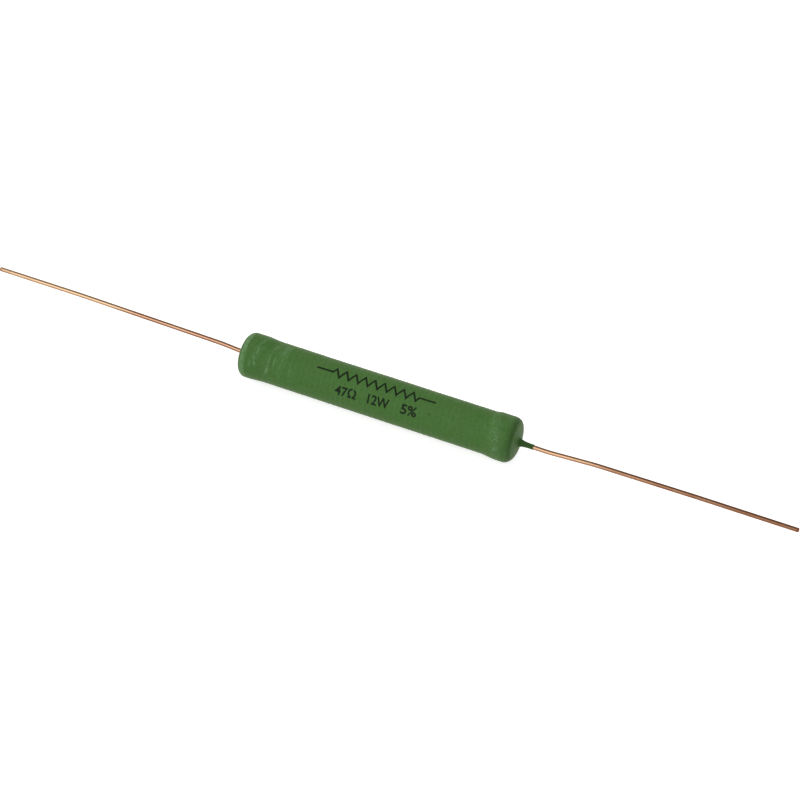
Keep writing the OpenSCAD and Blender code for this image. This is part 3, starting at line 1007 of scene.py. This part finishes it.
class RESISTOR_OT_winding(bpy.types.Operator):
    """Wind the resistance wire onto the rod and the caps"""
    bl_idname = "resistor.winding"
    bl_label = "Resistance winding"

    def execute(self, context):
        settings = context.scene.resistor
        alloy = metal_finish("resistance_alloy", settings.winding.alloy, 0.42, 300.0, 9000.0)
        settle(winding_piece(settings), alloy, "resistance_alloy", "resistance_wire")
        return {"FINISHED"}


class RESISTOR_OT_leads(bpy.types.Operator):
    """Draw the two copper leads from their welds"""
    bl_idname = "resistor.leads"
    bl_label = "Copper leads"

    def execute(self, context):
        settings = context.scene.resistor
        copper = copper_finish(settings.leads)
        left = lead_piece(settings, LEFT, "left_lead_wire", -float(LEFT_LEAD_LOW[0]), 0.3 * MM)
        right = lead_piece(settings, RIGHT, "right_lead_wire", float(RIGHT_LEAD_HIGH[0]), 0.08 * MM)
        settle(left, copper, "copper", "left_lead")
        settle(right, copper, "copper", "right_lead")
        return {"FINISHED"}


class RESISTOR_OT_coating(bpy.types.Operator):
    """Cast the green cement coating over the winding and the caps"""
    bl_idname = "resistor.coating"
    bl_label = "Cement coating"

    def execute(self, context):
        settings = context.scene.resistor
        settle(coating_piece(settings), cement_finish(settings.coat), "green_cement", "coating")
        return {"FINISHED"}


class RESISTOR_OT_print(bpy.types.Operator):
    """Print the generic symbol and figures on the barrel"""
    bl_idname = "resistor.print"
    bl_label = "Print"

    def execute(self, context):
        settings = context.scene.resistor
        ink = ink_finish(settings.print.ink)
        for piece in (rating_piece(settings), symbol_piece(settings)):
            face_outwards(piece)
            thicken(piece, settings.print.thickness)
            settle(piece, ink, "green_cement")
        return {"FINISHED"}


class RESISTOR_OT_stage(bpy.types.Operator):
    """Set up the floor, the light and the camera"""
    bl_idname = "resistor.stage"
    bl_label = "Stage"

    def execute(self, context):
        stage = context.scene.resistor.stage
        lay_floor(float(FRAME_BOUNDS[0][2]))
        light_sky(context, stage.sky)
        hang_key(context, stage.key)
        place_camera(context, stage)
        context.scene.view_settings.view_transform = "Standard"
        return {"FINISHED"}


def lay_floor(height):
    """A wide pale floor, which is white wherever no shadow falls, in reflections too."""
    half, grey, lift = 3.0, 0.66, 0.72
    corners = np.array([(-half, -half, height), (half, -half, height), (half, half, height),
                        (-half, half, height)])
    floor = add_mesh("floor", corners, [(0, 1, 2, 3)])
    paper = Finish("floor_paper", Base_Color=(grey, grey, grey, 1.0), Roughness=0.9,
                   Specular_IOR_Level=0.0, Emission_Color=(1.0, 1.0, 1.0, 1.0))
    glow = paper.rays("Camera", "Glossy", "Transmission") * lift
    floor.data.materials.append(paper.finish(Emission_Strength=glow))


def light_sky(context, strength):
    """Pale light from all round, stronger from the left, with a dark flag behind the object.

    The light falls off evenly with the direction's x. The flag is a soft window in x, y and z,
    and its reflection draws the dark line along the upper side of the leads. The camera sees
    plain white everywhere.
    """
    world = bpy.data.worlds.new("studio")
    world.use_nodes = True
    nodes = Nodes(world.node_tree)
    direction = nodes.add("ShaderNodeTexCoord", {}, {}, "Generated")
    x, y, z = nodes.split(direction)
    flag = x.between(-0.56, -0.44) * x.between(-0.02, -0.14) * z.between(-0.02, 0.1)
    flag = flag * y.between(-0.48, -0.2)
    flag_depth, fall = 0.87, 0.8
    level = (1.0 - flag * flag_depth) * (1.0 - x * fall) * strength
    level = level + (1.0 - level) * nodes.rays("Camera", "Transmission")
    background = world.node_tree.nodes["Background"]
    background.inputs["Color"].default_value = (1.0, 1.0, 1.0, 1.0)
    world.node_tree.links.new(level.socket, background.inputs["Strength"])
    context.scene.world = world


def hang_key(context, power):
    """A wide soft light above the left front, aimed at the body."""
    place = Vector((-0.235, -0.51, 0.57))
    lamp = bpy.data.lights.new("key", "AREA")
    lamp.shape = "DISK"
    lamp.size = 0.5
    lamp.energy = power
    light = bpy.data.objects.new("key", lamp)
    light.visible_camera = False
    context.scene.collection.objects.link(light)
    light.location = place
    light.rotation_euler = (-place).to_track_quat("-Z", "Y").to_euler()


def place_camera(context, stage):
    """A long lens at the photograph's angle, level, aimed a little beside the body's middle."""
    sin_a, cos_a = math.sin(stage.azimuth), math.cos(stage.azimuth)
    sin_e, cos_e = math.sin(stage.elevation), math.cos(stage.elevation)
    back = Vector((sin_a * cos_e, -cos_a * cos_e, sin_e))
    right = Vector((cos_a, sin_a, 0.0))
    up = back.cross(right)
    target = right * stage.aim_right - up * stage.aim_down
    lens = bpy.data.cameras.new("camera")
    lens.lens = stage.lens
    lens.sensor_width = 36.0
    lens.clip_start = 0.01
    camera = bpy.data.objects.new("camera", lens)
    context.scene.collection.objects.link(camera)
    camera.matrix_world = Matrix((right, up, back)).transposed().to_4x4()
    camera.location = target + back * stage.distance
    context.scene.camera = camera


class RESISTOR_PT_panel(bpy.types.Panel):
    """Lists the resistor's pieces and settings"""
    bl_idname = "RESISTOR_PT_panel"
    bl_label = "Resistor"
    bl_space_type = "VIEW_3D"
    bl_region_type = "UI"
    bl_category = "Resistor"

    def draw(self, context):
        for operator in OPERATORS:
            self.layout.operator(operator.bl_idname)
        for group, kind in GROUPS.items():
            box = self.layout.box()
            box.label(text=group.capitalize())
            for name in kind.__annotations__:
                box.prop(getattr(context.scene.resistor, group), name)


OPERATORS = (
    RESISTOR_OT_stage, RESISTOR_OT_core, RESISTOR_OT_caps, RESISTOR_OT_winding,
    RESISTOR_OT_leads, RESISTOR_OT_coating, RESISTOR_OT_print,
)
CLASSES = (*GROUPS.values(), ResistorSizes, *OPERATORS, RESISTOR_PT_panel)


def register():
    """Adds the classes and the scene's resistor settings."""
    for kind in CLASSES:
        bpy.utils.register_class(kind)
    bpy.types.Scene.resistor = bpy.props.PointerProperty(type=ResistorSizes)


def unregister():
    """Takes the settings and the classes away again."""
    del bpy.types.Scene.resistor
    for kind in reversed(CLASSES):
        bpy.utils.unregister_class(kind)


def main():
    register()
    bpy.ops.resistor.stage()
    bpy.ops.resistor.core()
    bpy.ops.resistor.caps()
    bpy.ops.resistor.winding()
    bpy.ops.resistor.leads()
    bpy.ops.resistor.coating()
    bpy.ops.resistor.print()
    bpy.context.view_layer.update()


if __name__ == "__main__":
    main()
